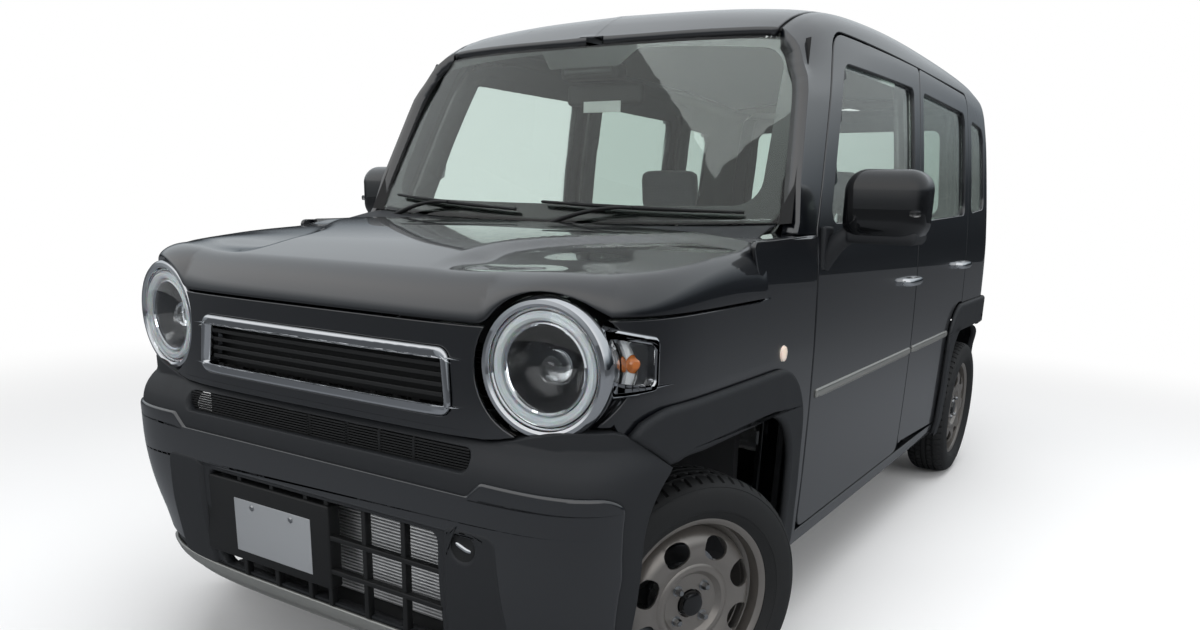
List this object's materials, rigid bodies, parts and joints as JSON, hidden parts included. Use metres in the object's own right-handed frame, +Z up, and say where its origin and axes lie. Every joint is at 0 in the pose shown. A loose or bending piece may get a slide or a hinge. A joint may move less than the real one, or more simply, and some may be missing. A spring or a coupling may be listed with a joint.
{
  "type": "kei car",
  "caption": "Tall two-box kei car with round headlamps, opening doors, bonnet and tailgate, steered front wheels and black arch trims.",
  "frame": {"origin": "on the ground under the middle of the body, halfway between the bumpers", "axes": "+X forward, +Y to the car's left, +Z up"},
  "size_m": [3.3941, 1.8672, 1.6802],
  "materials": {
    "alu": "satin",
    "black_gloss": "gloss",
    "black_matte": "satin",
    "chrome": "gloss",
    "cloth": "matte",
    "glass": "gloss",
    "lamp": "gloss",
    "matte": "satin",
    "paint": "gloss",
    "silver": "satin",
    "steel": "satin",
    "tail_lamp": "gloss",
    "tyre": "matte",
    "underbody": "satin",
    "wheel_paint": "satin"
  },
  "bodies": {
    "body": {"floor_pan": "underbody", "side_panel_left": "paint", "side_panel_right": "paint", "roof_panel": "paint", "bulkhead": "underbody", "fender_left": "paint", "fender_right": "paint", "nose_panel": "paint", "bumper_front": "matte", "skid_garnish": "silver", "grille": "chrome", "cooling_pack": "alu", "headlamp_left": "lamp", "headlamp_right": "lamp", "windscreen": "glass", "quarter_glass": "glass", "bumper_rear": "matte", "tail_lamps": "tail_lamp", "arch_trims": "matte", "dashboard": "black_matte", "front_seats": "cloth", "rear_seat": "cloth", "power_unit": "steel", "front_subframe": "steel", "rear_axle": "steel", "fuel_tank": "underbody", "exhaust": "steel", "wipers": "black_matte"},
    "bonnet": {"bonnet": "paint"},
    "tailgate": {"tailgate": "paint", "tailgate_glass": "glass"},
    "door_front_left": {"door_front_left": "paint", "glass_front_left": "glass", "mirror_left": "black_gloss"},
    "door_rear_left": {"door_rear_left": "paint", "glass_rear_left": "glass"},
    "knuckle_left": {"knuckle_left": "steel"},
    "wheel_front_left": {"tyre_front_left": "tyre", "rim_front_left": "wheel_paint"},
    "wheel_rear_left": {"tyre_rear_left": "tyre", "rim_rear_left": "wheel_paint"},
    "door_front_right": {"door_front_right": "paint", "glass_front_right": "glass", "mirror_right": "black_gloss"},
    "door_rear_right": {"door_rear_right": "paint", "glass_rear_right": "glass"},
    "knuckle_right": {"knuckle_right": "steel"},
    "wheel_front_right": {"tyre_front_right": "tyre", "rim_front_right": "wheel_paint"},
    "wheel_rear_right": {"tyre_rear_right": "tyre", "rim_rear_right": "wheel_paint"},
    "steering_wheel": {"steering_wheel": "black_matte"}
  },
  "joints": [
    {"name": "steer_left", "type": "hinge", "parent": "body", "child": "knuckle_left", "pos_m": [1.1925, 0.56, 0.2895], "axis": [0, 0, 1], "range_deg": [-6, 58]},
    {"name": "spin_front_left", "type": "hinge", "parent": "knuckle_left", "child": "wheel_front_left", "pos_m": [1.23086, 0.63864, 0.2895], "axis": [0.4384, 0.8988, 0], "continuous": true},
    {"name": "spin_rear_left", "type": "hinge", "parent": "body", "child": "wheel_rear_left", "pos_m": [-1.2675, 0.65, 0.2895], "axis": [0, 1, 0], "continuous": true},
    {"name": "door_front_left_hinge", "type": "hinge", "parent": "body", "child": "door_front_left", "pos_m": [0.702, 0.7235, 0.6], "axis": [0, 0, -1], "range_deg": [0, 65]},
    {"name": "door_rear_left_hinge", "type": "hinge", "parent": "body", "child": "door_rear_left", "pos_m": [-0.2815, 0.7235, 0.6], "axis": [0, 0, -1], "range_deg": [0, 70]},
    {"name": "steer_right", "type": "hinge", "parent": "body", "child": "knuckle_right", "pos_m": [1.1925, -0.56, 0.2895], "axis": [0, 0, 1], "range_deg": [-6, 58]},
    {"name": "spin_front_right", "type": "hinge", "parent": "knuckle_right", "child": "wheel_front_right", "pos_m": [1.15414, -0.63864, 0.2895], "axis": [0.4384, 0.8988, 0], "continuous": true},
    {"name": "spin_rear_right", "type": "hinge", "parent": "body", "child": "wheel_rear_right", "pos_m": [-1.2675, -0.65, 0.2895], "axis": [0, 1, 0], "continuous": true},
    {"name": "door_front_right_hinge", "type": "hinge", "parent": "body", "child": "door_front_right", "pos_m": [0.702, -0.7235, 0.6], "axis": [0, 0, 1], "range_deg": [0, 65]},
    {"name": "door_rear_right_hinge", "type": "hinge", "parent": "body", "child": "door_rear_right", "pos_m": [-0.2815, -0.7235, 0.6], "axis": [0, 0, 1], "range_deg": [0, 70]},
    {"name": "tailgate_hinge", "type": "hinge", "parent": "body", "child": "tailgate", "pos_m": [-1.5035, 0, 1.64], "axis": [0, 1, 0], "range_deg": [0, 78]},
    {"name": "bonnet_hinge", "type": "hinge", "parent": "body", "child": "bonnet", "pos_m": [1, 0, 1.078], "axis": [0, -1, 0], "range_deg": [0, 52]},
    {"name": "steering_column", "type": "hinge", "parent": "body", "child": "steering_wheel", "pos_m": [0.4, -0.32, 0.94], "axis": [-0.8829, 0, 0.4695], "range_deg": [-100, 880]}
  ],
  "couplings": [
    {"joint": "steer_right", "follows": "steer_left", "ratio": 1},
    {"joint": "steering_column", "follows": "steer_left", "ratio": 15}
  ]
}
